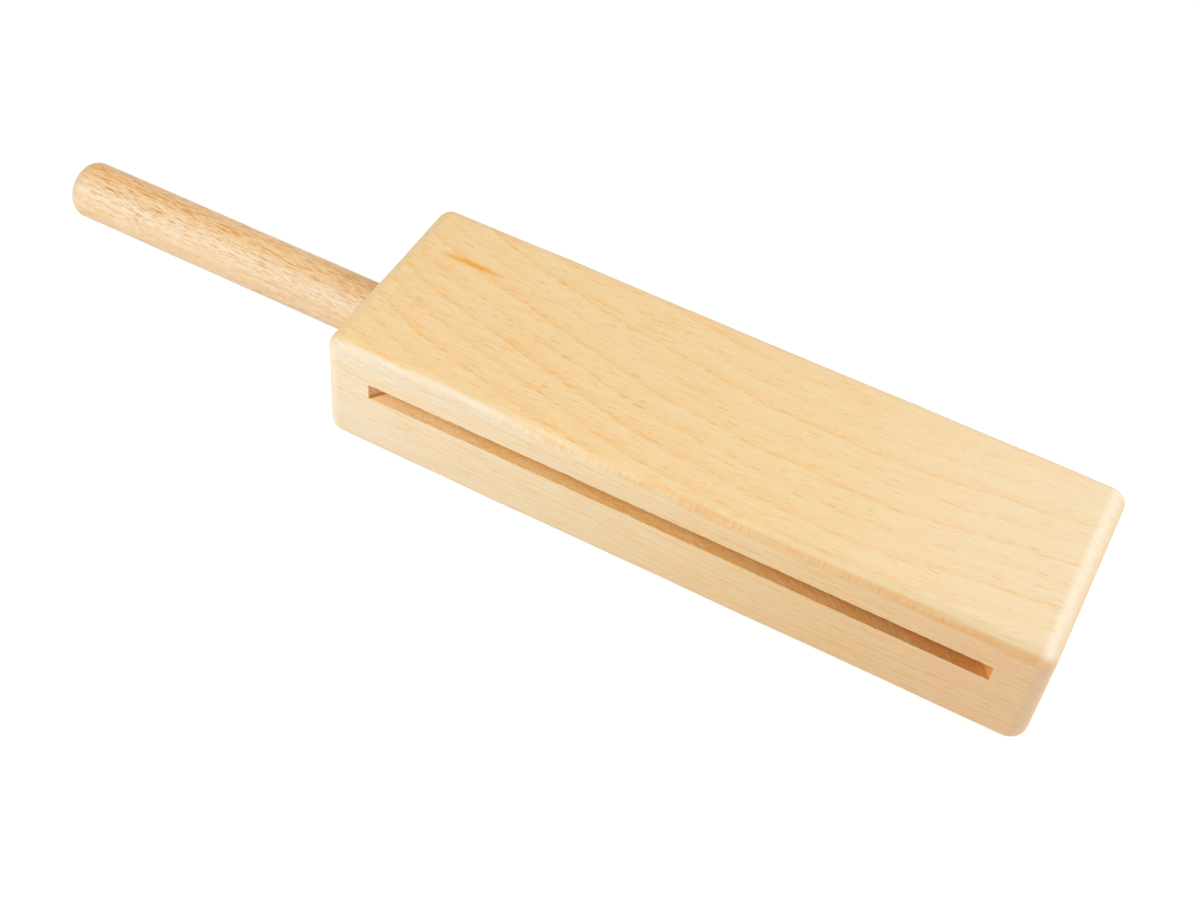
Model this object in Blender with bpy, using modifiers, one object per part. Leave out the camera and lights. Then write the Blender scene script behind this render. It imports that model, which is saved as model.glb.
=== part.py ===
"""Hand-held wood block: a slotted beech block on a round beech handle that is glued into its end.

Metres, +Z up. The origin is the middle of the block's underside. The block's length runs along X,
the handle leaves the -X end, and the sound slot opens in the long face at -Y.
"""

import math

import bpy

# The block
BLOCK_LENGTH = 0.200
BLOCK_WIDTH = 0.0625
BLOCK_HEIGHT = 0.036
EDGE_RADIUS = 0.0045

# The sound slot, one plunge of a round blade into the -Y face: the thin plate above it rings high,
# and the thick plate below it rings low
LOWER_PLATE = 0.021
SLOT_HEIGHT = 0.005
SLOT_MOUTH_LENGTH = 0.1732
SLOT_MOUTH_CENTRE_X = 0.0005
BLADE_RADIUS = 0.107

# The handle, a dowel with a rounded free end and a chamfered tenon
HANDLE_DIAMETER = 0.0165
HANDLE_FREE_LENGTH = 0.103
HANDLE_TIP_RADIUS = 0.004
HANDLE_AXIS_HEIGHT = 0.0162
TENON_LENGTH = 0.025
TENON_CHAMFER = 0.0015

# The glue joint: a cup-shaped film lies between the tenon and its blind bore
GLUE_FILM = 0.0003
SEAT_GAP = 0.0003

# How finely the round shapes are cut
EDGE_SEGMENTS = 5
BLADE_SEGMENTS = 180
TURNED_SEGMENTS = 48
TIP_SEGMENTS = 6
CUT_OVERRUN = 0.005
SCREW_MERGE = 0.00001

PARTS_NAME = "two_tone_wood_block"
CUTTERS_NAME = "cutters"

PALE_BEECH = "#EFCF9F"
WARM_BEECH = "#E8C294"
DRY_GLUE = "#E6DCC0"


def clear_scene():
    for obj in list(bpy.data.objects):
        bpy.data.objects.remove(obj, do_unlink=True)


def make_collection(name):
    collection = bpy.data.collections.new(name)
    bpy.context.scene.collection.children.link(collection)
    return collection


def move_to(obj, collection):
    for old in list(obj.users_collection):
        old.objects.unlink(obj)
    collection.objects.link(obj)


def linear(hex_colour):
    """An sRGB hex colour as linear red, green, blue and alpha."""
    channels = []
    for start in (1, 3, 5):
        value = int(hex_colour[start:start + 2], 16) / 255
        channels.append(value / 12.92 if value <= 0.04045 else ((value + 0.055) / 1.055) ** 2.4)
    return (*channels, 1.0)


def make_material(name, hex_colour, roughness):
    material = bpy.data.materials.new(name)
    material.use_nodes = True
    shader = material.node_tree.nodes["Principled BSDF"]
    shader.inputs["Base Color"].default_value = linear(hex_colour)
    shader.inputs["Roughness"].default_value = roughness
    shader.inputs["Metallic"].default_value = 0.0
    return material


def finish_part(obj, name, material, collection):
    obj.name = name
    obj.data.name = name
    obj.data.materials.append(material)
    move_to(obj, collection)
    return obj


def finish_cutter(obj, name, collection):
    obj.name = name
    obj.data.name = name
    obj.hide_render = True
    obj.display_type = "WIRE"
    move_to(obj, collection)
    return obj


def cut(obj, cutter):
    modifier = obj.modifiers.new(cutter.name, "BOOLEAN")
    modifier.operation = "DIFFERENCE"
    modifier.solver = "EXACT"
    modifier.object = cutter


def make_handle_axis():
    """An empty on the handle's axis at the block's end face, its Z pointing out along the handle."""
    axis = bpy.data.objects.new("handle_axis", None)
    bpy.context.scene.collection.objects.link(axis)
    axis.location = (-BLOCK_LENGTH / 2, 0, HANDLE_AXIS_HEIGHT)
    axis.rotation_euler = (0, -math.pi / 2, 0)
    axis.empty_display_size = HANDLE_DIAMETER
    return axis


def bore_radius():
    return HANDLE_DIAMETER / 2 + GLUE_FILM + 2 * SEAT_GAP


def bore_depth():
    return TENON_LENGTH + GLUE_FILM + 2 * SEAT_GAP


def make_slot_cutter(collection):
    """The blade as a flat disc, whose middle stands off the -Y face so that the mouth has its length."""
    stand_off = math.sqrt(BLADE_RADIUS ** 2 - (SLOT_MOUTH_LENGTH / 2) ** 2)
    bpy.ops.mesh.primitive_cylinder_add(
        vertices=BLADE_SEGMENTS,
        radius=BLADE_RADIUS,
        depth=SLOT_HEIGHT,
        location=(
            SLOT_MOUTH_CENTRE_X,
            -BLOCK_WIDTH / 2 - stand_off,
            LOWER_PLATE + SLOT_HEIGHT / 2,
        ),
    )
    return finish_cutter(bpy.context.object, "slot_blade", collection)


def make_bore_cutter(axis, collection):
    """The drill, from outside the end face to the bottom of the blind bore."""
    bpy.ops.mesh.primitive_cylinder_add(
        vertices=TURNED_SEGMENTS,
        radius=bore_radius(),
        depth=bore_depth() + CUT_OVERRUN,
    )
    drill = finish_cutter(bpy.context.object, "bore_drill", collection)
    drill.parent = axis
    drill.location = (0, 0, (CUT_OVERRUN - bore_depth()) / 2)
    return drill


def make_block(cutters, material, collection):
    """One piece of beech with rounded edges, slotted along one face and bored in one end."""
    bpy.ops.mesh.primitive_cube_add(size=1, location=(0, 0, BLOCK_HEIGHT / 2))
    block = bpy.context.object
    block.scale = (BLOCK_LENGTH, BLOCK_WIDTH, BLOCK_HEIGHT)
    bpy.ops.object.transform_apply(location=False, rotation=False, scale=True)
    edges = block.modifiers.new("rounded_edges", "BEVEL")
    edges.width = EDGE_RADIUS
    edges.segments = EDGE_SEGMENTS
    edges.limit_method = "NONE"
    for cutter in cutters:
        cut(block, cutter)
    return finish_part(block, "sound_block", material, collection)


def turn(profile, name, axis, material, collection):
    """Turns a profile of (radius, height) points about the handle's axis into a closed solid."""
    mesh = bpy.data.meshes.new(name)
    points = [(radius, 0, height) for radius, height in profile]
    edges = [(index, index + 1) for index in range(len(points) - 1)]
    mesh.from_pydata(points, edges, [])
    obj = bpy.data.objects.new(name, mesh)
    bpy.context.scene.collection.objects.link(obj)
    obj.parent = axis
    screw = obj.modifiers.new("turned", "SCREW")
    screw.axis = "Z"
    screw.steps = TURNED_SEGMENTS
    screw.render_steps = TURNED_SEGMENTS
    screw.use_merge_vertices = True
    screw.merge_threshold = SCREW_MERGE
    screw.use_smooth_shade = True
    return finish_part(obj, name, material, collection)


def handle_profile():
    """From the middle of the free end, over its rounded rim and down the bar to the tenon's chamfer."""
    radius = HANDLE_DIAMETER / 2
    profile = [(0, HANDLE_FREE_LENGTH)]
    for step in range(TIP_SEGMENTS + 1):
        angle = math.pi / 2 * (1 - step / TIP_SEGMENTS)
        profile.append((
            radius - HANDLE_TIP_RADIUS * (1 - math.cos(angle)),
            HANDLE_FREE_LENGTH - HANDLE_TIP_RADIUS * (1 - math.sin(angle)),
        ))
    profile.append((radius, TENON_CHAMFER - TENON_LENGTH))
    profile.append((radius - TENON_CHAMFER, -TENON_LENGTH))
    profile.append((0, -TENON_LENGTH))
    return profile


def glue_profile():
    """A cup open towards the free end: up its inside, over its rim, and down its outside."""
    inside = HANDLE_DIAMETER / 2 + SEAT_GAP
    floor = -TENON_LENGTH - SEAT_GAP
    rim = -SEAT_GAP
    return [
        (0, floor),
        (inside, floor),
        (inside, rim),
        (inside + GLUE_FILM, rim),
        (inside + GLUE_FILM, floor - GLUE_FILM),
        (0, floor - GLUE_FILM),
    ]


def main():
    clear_scene()
    parts = make_collection(PARTS_NAME)
    cutters = make_collection(CUTTERS_NAME)
    axis = make_handle_axis()
    block_beech = make_material("pale_beech", PALE_BEECH, 0.5)
    handle_beech = make_material("warm_beech", WARM_BEECH, 0.5)
    glue = make_material("dry_wood_glue", DRY_GLUE, 0.35)
    slot_blade = make_slot_cutter(cutters)
    bore_drill = make_bore_cutter(axis, cutters)
    make_block((slot_blade, bore_drill), block_beech, parts)
    turn(handle_profile(), "handle", axis, handle_beech, parts)
    turn(glue_profile(), "handle_glue", axis, glue, parts)


main()
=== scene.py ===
"""A hand-held beech wood block in a white studio: block, handle, glue joint, saw fuzz and the stage."""

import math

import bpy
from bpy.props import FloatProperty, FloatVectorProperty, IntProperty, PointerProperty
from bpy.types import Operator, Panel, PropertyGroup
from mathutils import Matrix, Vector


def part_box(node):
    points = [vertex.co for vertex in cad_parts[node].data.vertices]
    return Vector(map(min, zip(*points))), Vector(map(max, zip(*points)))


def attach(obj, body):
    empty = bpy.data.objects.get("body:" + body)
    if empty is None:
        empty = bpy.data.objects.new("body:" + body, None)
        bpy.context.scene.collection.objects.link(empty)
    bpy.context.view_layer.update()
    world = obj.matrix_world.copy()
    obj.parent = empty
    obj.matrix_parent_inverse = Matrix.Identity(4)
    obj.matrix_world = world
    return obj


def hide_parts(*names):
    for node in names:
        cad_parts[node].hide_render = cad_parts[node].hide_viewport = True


bl_info = {
    "name": "Two-tone wood block",
    "version": (1, 0, 0),
    "blender": (4, 5, 0),
    "location": "View3D > Sidebar > Wood block",
    "description": "Builds the looks of a slotted beech wood block round its packed solids",
    "category": "Object",
}

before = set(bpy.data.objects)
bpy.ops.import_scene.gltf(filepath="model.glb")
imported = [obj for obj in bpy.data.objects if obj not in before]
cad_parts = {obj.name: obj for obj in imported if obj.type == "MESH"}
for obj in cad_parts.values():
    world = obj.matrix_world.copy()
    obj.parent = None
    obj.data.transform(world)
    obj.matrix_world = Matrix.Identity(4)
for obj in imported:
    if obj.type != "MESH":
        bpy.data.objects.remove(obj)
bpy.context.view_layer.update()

BLOCK_LOW, BLOCK_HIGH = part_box("sound_block")
HANDLE_LOW, HANDLE_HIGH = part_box("handle")
BODY = "root"
MM_PER_METRE = 1000.0
UPRIGHT_TO_ALONG = (0.0, math.pi / 2, 0.0)

# Node kinds that are used often
MATH = "ShaderNodeMath"
VECTOR = "ShaderNodeVectorMath"
RANGE = "ShaderNodeMapRange"
MIX = "ShaderNodeMix"
NOISE = "ShaderNodeTexNoise"
JOIN_XYZ = "ShaderNodeCombineXYZ"
SPLIT_XYZ = "ShaderNodeSeparateXYZ"
PRINCIPLED = "ShaderNodeBsdfPrincipled"
SURFACE = "ShaderNodeOutputMaterial"
RANDOM = "FunctionNodeRandomValue"
CIRCLE = "GeometryNodeCurvePrimitiveCircle"
CYLINDER = "GeometryNodeMeshCylinder"
SWEEP = "GeometryNodeCurveToMesh"
MOVE = "GeometryNodeTransform"
RESHAPE = "GeometryNodeSetPosition"
ON_POINTS = "GeometryNodeInstanceOnPoints"
SMOOTH = {"interpolation_type": "SMOOTHSTEP"}

# Sockets of a Mix node for colours, and of a Random Value node for single numbers
MIX_A = 6
MIX_B = 7
MIX_COLOUR = 2
RANDOM_LEAST = 2
RANDOM_MOST = 3
RANDOM_NUMBER = 1

# How finely the shapes are cut
EDGE_STEPS = 7
FLAT_STEPS = (84, 26, 14)
BLADE_STEPS = 360
ROUND_STEPS = 96
BAR_STEPS = 48
TIP_STEPS = 12
CAP_STEPS = 4
BEAD_STEPS = 10
HAIR_STEPS = 5
HAIR_SIDES = 3
CHIP_DETAIL = 2
SHARP_ANGLE = math.radians(35)
CUT_OVERRUN = 0.002
MERGE_REACH = 0.000002

# A range, from here on, is where something begins and is full, and then its shares there if not 0 and 1

# How uneven hand work leaves the shapes: waves per metre or per bar, and the glue bead's swell and depth
EDGE_WAVES = 40.0
BAR_WAVES = (1.5, 1.5, 7.0)
BEAD_WAVES = 260.0
BEAD_SWELL = (0.25, 0.75, 0.7, 1.15)
BEAD_SUNK = 0.4

# Chips and torn fibres on the slot's lips: shares of the largest, turns in radians, steps between seeds
CHIP_LEAST = (0.15, 0.06, 0.05)
CHIP_MOST = (1.0, 0.22, 0.17)
CHIP_SEED_STEP = 1.0
FIBRE_TURN_LEAST = (0.0, -0.5, 0.05)
FIBRE_TURN_MOST = (6.0, 0.5, 0.45)
FIBRE_LEAST = 0.25
FIBRE_SEED_STEP = 7.0
FIBRE_BOW = 0.25
FIBRE_TIP = 0.3
ROOTS_PER_FIBRE = 6
SPLINTER_BOW = 0.18
SPLINTER_TURN = (0.0, math.radians(64), math.radians(8))
SPLINTER_FIBRES = 3

# Beech's grain: sizes in mm along, across and into the wood with their noise's detail, and how it wanders
# Fibres and pores are drawn coarser than real ones so that they show
FIBRE = ((7.0, 0.30, 0.30), 3.0)
THREAD = ((16.0, 1.4, 1.4), 2.0)
PORE = ((2.6, 0.24, 0.24), 1.0)
CLOUD = ((30.0, 30.0, 30.0), 2.0)
GRAIN_WANDER = (60.0, 3.0)
RING_WANDER = (45.0, 1.6)
RING_RAGGED = 0.35
SMALL_RAYS = 0.65

# A growth ring, in shares of its year, and how strong luck makes it
RING_START = 0.65
RING_EDGE = (0.0, 0.03)
RING_LINE = (0.14, 0.03, 0.0, 0.7)
RING_FADE = (0.70, 0.03, 0.0, 0.35)
RING_LUCK = (0.0, 1.0, 0.4, 1.0)

# How the figure shows: by how squarely a face meets it, by its noise, or by the distance from a fleck
RINGS_FADE = (0.05, 0.45, 1.0, 0.1)
RINGS_RETURN = (0.75, 0.98, 0.0, 0.7)
RAY_RIM = (1.0, 0.6)
RAY_CROWDS = (0.35, 0.65, 0.7, 1.2)
FINE_SHARE = (0.0, 1.0, 0.2, 0.6)
BROAD_SHARE = (0.0, 1.0, 0.6, 0.4)
FIBRE_SHOWS = (0.40, 0.75)
THREAD_SHOWS = (0.45, 0.70)
PORE_SHOWS = (0.58, 0.74, 0.0, 0.5)
SOFT_RIM = (1.2, 0.2)

# The wood's finish
WOOD_ROUGHNESS = (0.2, 0.8, 0.40, 0.50)
WOOD_IOR = 1.5
RAY_PIT = -0.15
BUMP_STRENGTH = 0.25
BUMP_HEIGHT = 0.00008

# The front edge's row of flecks and its painted shade line, in mm, and how far round the edge they lie
FLECK_TURN = math.radians(36)
FLECK_PITCH = 1.1
FLECK_HALF = (0.62, 1.2)
FLECK_LUCK = (0.1, 0.9)
FLECK_MIDDLE = 18.0
FLECK_SPAN = (75.0, 50.0, 0.12, 0.55)
SHADE_LINE_WIDTH = (1.9, 0.6)
SHADE_LINE_ALONG = (-20.0, 95.0, 0.0, 0.8)

# Where the block's tone drifts and where its painted light and shade lie, in mm along it, back from its
# front, down from its top, in from its far end
FRONT_FALL = (-45.0, -5.0, 0.0, 1.9)
FRONT_SHEEN_EDGE = (2.95, 1.85)
FRONT_SHEEN_ALONG = (45.0, -88.0, 0.0, 0.8)
# Painted shade: the slotted face warmer and darker towards the far end
FAR_SHADE_ALONG = (0.0, 90.0, 0.0, 0.7)
# A painted sheen on the round-over near the handle, not wear
EDGE_SHEEN_ALONG = (-25.0, -70.0)
EDGE_SHEEN_DOWN = (5.0, 3.0)
# Painted light: the top paler towards the far end
TOP_LIGHT_ALONG = (30.0, 95.0, 0.0, 0.4)
CALM_ALONG = (0.0, 60.0, 0.0, 0.3)
# A painted highlight along the far end's top edge
RIM_HIGHLIGHT_IN = (5.2, 2.8, 0.0, 0.8)
RIM_HIGHLIGHT_OUT = (0.3, 3.0)
RIM_HIGHLIGHT_DOWN = (3.5, 1.5)
END_IN = (4.0, 1.5, 0.0, 0.8)
STREAK_PLACE = (-81.0, 13.0)
STREAK_HALF = (11.0, 1.3, 3.0)

# The sawn slot, in mm: teeth marks, grit, painted light near the handle, painted shade away from it, and
# painted shade and shadow at the wall's foot
SAWN_SKIN = 0.08
TEETH = ((0.4, 9.0, 4.0), 1.0)
GRIT = ((0.45, 0.45, 0.45), 1.0)
SCRATCH_SHOWS = (0.54, 0.68, 0.0, 0.8)
GRIT_SHOWS = (0.42, 0.66, 0.0, 0.55)
SLOT_LIGHT_ALONG = (0.0, -86.0)
# Painted shade: the slot darker towards the far end
SLOT_SHADE_ALONG = (0.0, 86.0, 0.0, 0.8)
FOOT_DEPTH = (0.7, 0.2)
FOOT_HEIGHT = (1.2, 0.4)
FOOT_SHADE = (0.6, 1.0)

# The dowel's painted highlight on its front side, in shares of its radius
HIGHLIGHT_SIDE_IN = (0.15, 0.65)
HIGHLIGHT_SIDE_OUT = (1.25, 0.8)

# Dried glue and torn fibre: clouds' size in mm and detail, colours and finish
GLUE_CLOUD = (2.5, 2.0)
GLUE_COLOURS = ("#C99D5E", "#E9D6AE")
GLUE_ROUGHNESS = (0.0, 1.0, 0.25, 0.45)
GLUE_IOR = 1.47
TORN_CLOUD = (1.5, 1.0)
TORN_COLOURS = ("#E3BE84", "#F7E8CB")
TORN_ROUGHNESS = 0.8
TORN_IOR = 1.45

# The stage: how bright board and room are, and each lamp's name, place and size in metres, and watts
WHITE = (1.0, 1.0, 1.0)
BOARD_SHADOW = (0.11, 0.11, 0.11)
BOARD_GLOW = 0.93
ROOM_GLOW = (0.0, 1.0, 0.24, 1.0)
FLOOR_RADIUS = 6.0
FLOOR_STEPS = 96
SENSOR_WIDTH_MM = 36.0
NEAREST_SEEN = 0.01
SOFTBOXES = (
    ("left_softbox", (-0.36, -0.40, 0.205), 0.35, 0.84),
    ("front_softbox", (-0.22, -0.36, 0.45), 0.35, 1.48),
    ("back_softbox", (0.238, 0.692, 0.682), 0.8, 3.7),
    ("right_panel", (0.82, 0.15, 0.50), 0.4, 3.8),
)


def linear(hex_colour):
    """An sRGB hex colour as linear red, green and blue."""
    channels = []
    for start in (1, 3, 5):
        value = int(hex_colour[start:start + 2], 16) / 255
        channels.append(value / 12.92 if value <= 0.04045 else ((value + 0.055) / 1.055) ** 2.4)
    return tuple(channels)


def opaque(colour):
    """A colour as a colour socket takes it."""
    return (*colour, 1.0)


def blade_hub(block):
    """Where the blade's middle stood off the slotted face, so that its cut has the mouth's length."""
    return -block.width / 2 - math.sqrt(block.blade_radius ** 2 - (block.mouth_length / 2) ** 2)


# Settings


def maker(kind, **shared):
    """A function that makes settings of one kind."""
    def make(name, description, default):
        return kind(name=name, description=description, default=default, **shared)
    return make


length_prop = maker(FloatProperty, unit="LENGTH", precision=5)
lengths_prop = maker(FloatVectorProperty, unit="LENGTH")
angle_prop = maker(FloatProperty, subtype="ANGLE")
amount_prop = maker(FloatProperty, min=0)
pair_prop = maker(FloatVectorProperty, size=2)
heading_prop = maker(FloatVectorProperty, subtype="DIRECTION")
linear_prop = maker(FloatVectorProperty, size=3, min=0, max=1, subtype="COLOR")
count_prop = maker(IntProperty, min=0)
seed_prop = maker(IntProperty)


def colour_prop(name, description, hex_colour):
    """A colour, given as sRGB hex."""
    return linear_prop(name, description, linear(hex_colour))


class BlockSizes(PropertyGroup):
    """The slotted block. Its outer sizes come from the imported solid."""

    length: length_prop("Length", "Along the grain", BLOCK_HIGH.x - BLOCK_LOW.x)
    width: length_prop("Width", "From the slotted face to the back", BLOCK_HIGH.y - BLOCK_LOW.y)
    height: length_prop("Height", "From the rest face to the striking face", BLOCK_HIGH.z - BLOCK_LOW.z)
    edge_radius: length_prop("Edge radius", "Round-over of every edge", 0.0045)
    edge_wander: length_prop("Edge wander", "How far hand sanding varies the round-over", 0.0009)
    slot_floor: length_prop("Slot floor", "Thickness of the lower plate", 0.021)
    slot_height: length_prop("Slot height", "Width of the blade's cut", 0.005)
    mouth_length: length_prop("Mouth length", "Length of the slot in the front face", 0.1732)
    mouth_centre: length_prop("Mouth centre", "Middle of the slot along the block", 0.0005)
    blade_radius: length_prop("Blade radius", "Radius of the blade that cut the slot", 0.107)
    bore_depth: length_prop("Bore depth", "Depth of the blind bore for the handle", 0.0259)
    chip_size: length_prop("Chip size", "Longest tear-out on the slot's lips", 0.0011)
    chip_count: count_prop("Chips", "Tear-out marks along each lip", 44)
    seed: seed_prop("Seed", "Which random tear-out", 5)


class HandleSizes(PropertyGroup):
    """The dowel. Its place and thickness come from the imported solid."""

    radius: length_prop("Radius", "Half the bar's thickness", (HANDLE_HIGH.z - HANDLE_LOW.z) / 2)
    axis_height: length_prop("Axis height", "Height of the bar's axis", (HANDLE_HIGH.z + HANDLE_LOW.z) / 2)
    tip_radius: length_prop("Tip radius", "Round-over of the free end", 0.004)
    waver: length_prop("Waver", "How far sanding varies the radius", 0.00012)
    glue_gap: length_prop("Glue gap", "Width of the glue line round the bar", 0.00025)
    bead: length_prop("Glue bead", "Half the thickness of the wiped glue line", 0.0003)


class FuzzSizes(PropertyGroup):
    """Torn fibres that the blade left on the slot's lips."""

    count: count_prop("Fibres", "Fibres along each lip", 34)
    longest: length_prop("Longest fibre", "Length of the longest fibre", 0.0021)
    thickness: length_prop("Fibre thickness", "Radius of a fibre", 0.00005)
    splinter_length: length_prop("Splinter length", "The one long splinter that hangs in the slot", 0.0032)
    splinter_place: length_prop("Splinter place", "Where that splinter hangs along the block", 0.0600)
    seed: seed_prop("Seed", "Which random fibres", 3)


BEECH_SETTINGS = {
    "spring": (colour_prop, "Spring wood", "Plain wood between the growth rings' edges"),
    # pale is painted light, not paler wood: a painted sheen on the block's slotted face, painted light on its
    # top towards the far end, and a painted highlight on the dowel's front side
    "pale": (colour_prop, "Pale wood", "Creamier wood on one side"),
    "autumn": (colour_prop, "Autumn stain", "How the edge of a growth ring stains the plain wood"),
    "ray": (colour_prop, "Ray stain", "How a ray fleck stains the plain wood"),
    "bow": (pair_prop, "Fibre bow", "Middle in mm, and curve per mm, of the fibres"),
    "ring_bow": (pair_prop, "Ring bow", "Middle in mm, and curve per mm, of the rings"),
    "ring_lean": (heading_prop, "Ring lean", "Which way the growth rings face"),
    "ring": (length_prop, "Ring width", "Growth in one year"),
    "slope": (angle_prop, "Grain slope", "Turn of the grain from the piece's length"),
    "ray_roll": (angle_prop, "Ray roll", "Turn of the rays from upright"),
    "ray_half": (lengths_prop, "Ray half size", "Along, across and into the wood"),
    "ray_pitch": (lengths_prop, "Ray pitch", "Spacing along, across and into the wood"),
    "ray_rarity": (amount_prop, "Ray rarity", "How few of the rays are strong"),
    "ray_crowding": (amount_prop, "Ray crowding", "How many more rays show at a ring's edge"),
    "ray_view": (pair_prop, "Ray view", "How squarely cut rays begin to show, and show in full"),
}


def beech_props(**defaults):
    """The settings of one piece of beech: its colours, how its grain lies, and the sizes of its figure."""
    props = {}
    for key, (prop, name, description) in BEECH_SETTINGS.items():
        props[key] = prop(name, description, defaults[key])
    return props


class BlockBeech(PropertyGroup):
    """Pale flat-sawn beech of the block, whose rings sweep in wide bows across the striking face."""

    __annotations__ = {
        # On the slotted face this is painted shade towards the far end; on the far end it is the end's own
        # warmer tone
        "warm": colour_prop("Warm wood", "Warmer wood at the far end and beside it", "#EEC89E"),
        # A painted sheen on the round-over near the handle, not wear
        "worn": colour_prop("Worn edge", "Creamy round-over of the slotted side near the handle", "#EBDFC8"),
        # Painted highlight along the far end's top edge, not creamier wood
        "rim": colour_prop("Rim", "Creamier wood on the round-over away from the handle", "#FBEEDB"),
        "sawn": colour_prop("Sawn wood", "Bare wood in the slot", "#F7D898"),
        # Painted light in the slot towards the handle, and the pale scratches of the teeth
        "dusty": colour_prop("Dusty wood", "Paler sawn wood near the handle and in scratches", "#FFECC4"),
        # Painted shade in the slot, not scorch: darker towards the far end, on the end wall and at its foot
        "burnt": colour_prop("Scorch stain", "How the blade's heat stains the slot", "#DDB284"),
        "mineral": colour_prop("Mineral stain", "How the streak near the handle stains the wood", "#FCD070"),
        **beech_props(
            spring="#F1D5A3",
            # Painted sheen on the slotted face and painted light on the top
            pale="#F1E5CE",
            autumn="#FEEBCC",
            ray="#FADBAE",
            bow=(-34.0, 0.0006),
            ring_bow=(30.0, 0.0032),
            ring_lean=(0.0, 0.28, 0.96),
            ring=0.0020,
            slope=0.0,
            ray_roll=math.radians(33.0),
            ray_half=(0.0022, 0.00018, 0.006),
            ray_pitch=(0.0047, 0.0014, 0.013),
            ray_rarity=2.6,
            ray_crowding=1.0,
            ray_view=(0.30, 0.82),
        ),
    }


class HandleBeech(PropertyGroup):
    """Warmer beech of the dowel, with more and finer lines."""

    __annotations__ = beech_props(
        spring="#EFCF9E",
        # Painted highlight of the dowel's front side
        pale="#E8D6BA",
        autumn="#FDE9C8",
        ray="#E0A83C",
        bow=(-150.0, 0.0),
        ring_bow=(-150.0, 0.0004),
        ring_lean=(0.03, 0.3, 0.95),
        ring=0.0021,
        slope=math.radians(4.0),
        ray_roll=math.radians(10.0),
        ray_half=(0.0030, 0.00018, 0.00026),
        ray_pitch=(0.0040, 0.00058, 0.00066),
        ray_rarity=0.85,
        ray_crowding=0.2,
        ray_view=(-0.15, 0.95),
    )


class StudioSettings(PropertyGroup):
    """Camera and floor of the picture."""

    lens: amount_prop("Lens", "Focal length in mm on a 36 mm sensor", 54.372)
    aim: lengths_prop("Aim", "What the camera points at", (-0.02672, -0.01315, 0.018))
    distance: length_prop("Distance", "From the aim to the camera", 0.47338)
    azimuth: angle_prop("Azimuth", "Camera's turn round the block", math.radians(22.582))
    elevation: angle_prop("Elevation", "Camera's height as an angle", math.radians(49.179))
    roll: angle_prop("Roll", "Camera's tilt to one side", math.radians(6.601))
    floor: colour_prop("Floor", "Matte white board", "#F4F3F0")


class WoodBlockSettings(PropertyGroup):
    """All settings of the add-on."""

    block: PointerProperty(type=BlockSizes)
    handle: PointerProperty(type=HandleSizes)
    fuzz: PointerProperty(type=FuzzSizes)
    block_beech: PointerProperty(type=BlockBeech)
    handle_beech: PointerProperty(type=HandleBeech)
    studio: PointerProperty(type=StudioSettings)


def add(tree, kind, inputs=(), **settings):
    """Adds a node with its settings, and its inputs in order or by socket: values, or what feeds them."""
    node = tree.nodes.new(kind)
    for name, value in settings.items():
        setattr(node, name, value)
    pairs = inputs.items() if isinstance(inputs, dict) else enumerate(inputs)
    for key, value in pairs:
        feeds = value if isinstance(value, list) else [value]
        for feed in feeds:
            if isinstance(feed, bpy.types.NodeSocket):
                tree.links.new(feed, node.inputs[key])
            else:
                node.inputs[key].default_value = feed
    return node.outputs


# Materials


def new_material(name):
    """A new material, and its empty tree."""
    material = bpy.data.materials.new(name)
    material.use_nodes = True
    material.node_tree.nodes.clear()
    return material, material.node_tree


def overlap(tree, *shares):
    """How far all of these shares meet: their product."""
    product, *others = shares
    for share in others:
        product = add(tree, MATH, (product, share), operation="MULTIPLY")[0]
    return product


def facing(tree, normal, direction):
    """How squarely a face meets a direction, from 0 to 1."""
    turn = add(tree, VECTOR, (normal, direction), operation="DOT_PRODUCT")["Value"]
    return add(tree, MATH, {0: turn}, operation="ABSOLUTE")[0]


def bowed(tree, place, middle, curve):
    """The place with a long bow taken out of its y, so that what follows the bow is straight."""
    x, y, z = add(tree, SPLIT_XYZ, {0: place})
    along = add(tree, MATH, (x, middle), operation="SUBTRACT")[0]
    square = add(tree, MATH, (along, along), operation="MULTIPLY")[0]
    straight = add(tree, MATH, (square, -curve / 2, y), operation="MULTIPLY_ADD")[0]
    return add(tree, JOIN_XYZ, (x, straight, z))[0]


def wandering(tree, place, reach_mm, amount_mm):
    """The place shifted across the fibres by slow noise, as real grain wanders."""
    slow = add(tree, NOISE, {"Vector": place, "Scale": 1 / reach_mm, "Detail": 1.0})["Color"]
    centred = add(tree, VECTOR, (slow, (-0.5, -0.5, -0.5)), operation="ADD")[0]
    shift = add(tree, VECTOR, (centred, (0.0, amount_mm, amount_mm)), operation="MULTIPLY")[0]
    return add(tree, VECTOR, (place, shift), operation="ADD")[0]


def soft_spot(tree, away, rim):
    """1 in the middle of a spot, 0 past its rim."""
    far = add(tree, VECTOR, {0: away}, operation="LENGTH")["Value"]
    return add(tree, RANGE, (far, *rim), **SMOOTH)[0]


def streaks(tree, space, size_mm, detail):
    """Noise drawn out to a size along, across and into the wood."""
    stretched = add(tree, VECTOR, (space, size_mm), operation="DIVIDE")[0]
    return add(tree, NOISE, {"Vector": stretched, "Scale": 1.0, "Detail": detail})[0]


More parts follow.
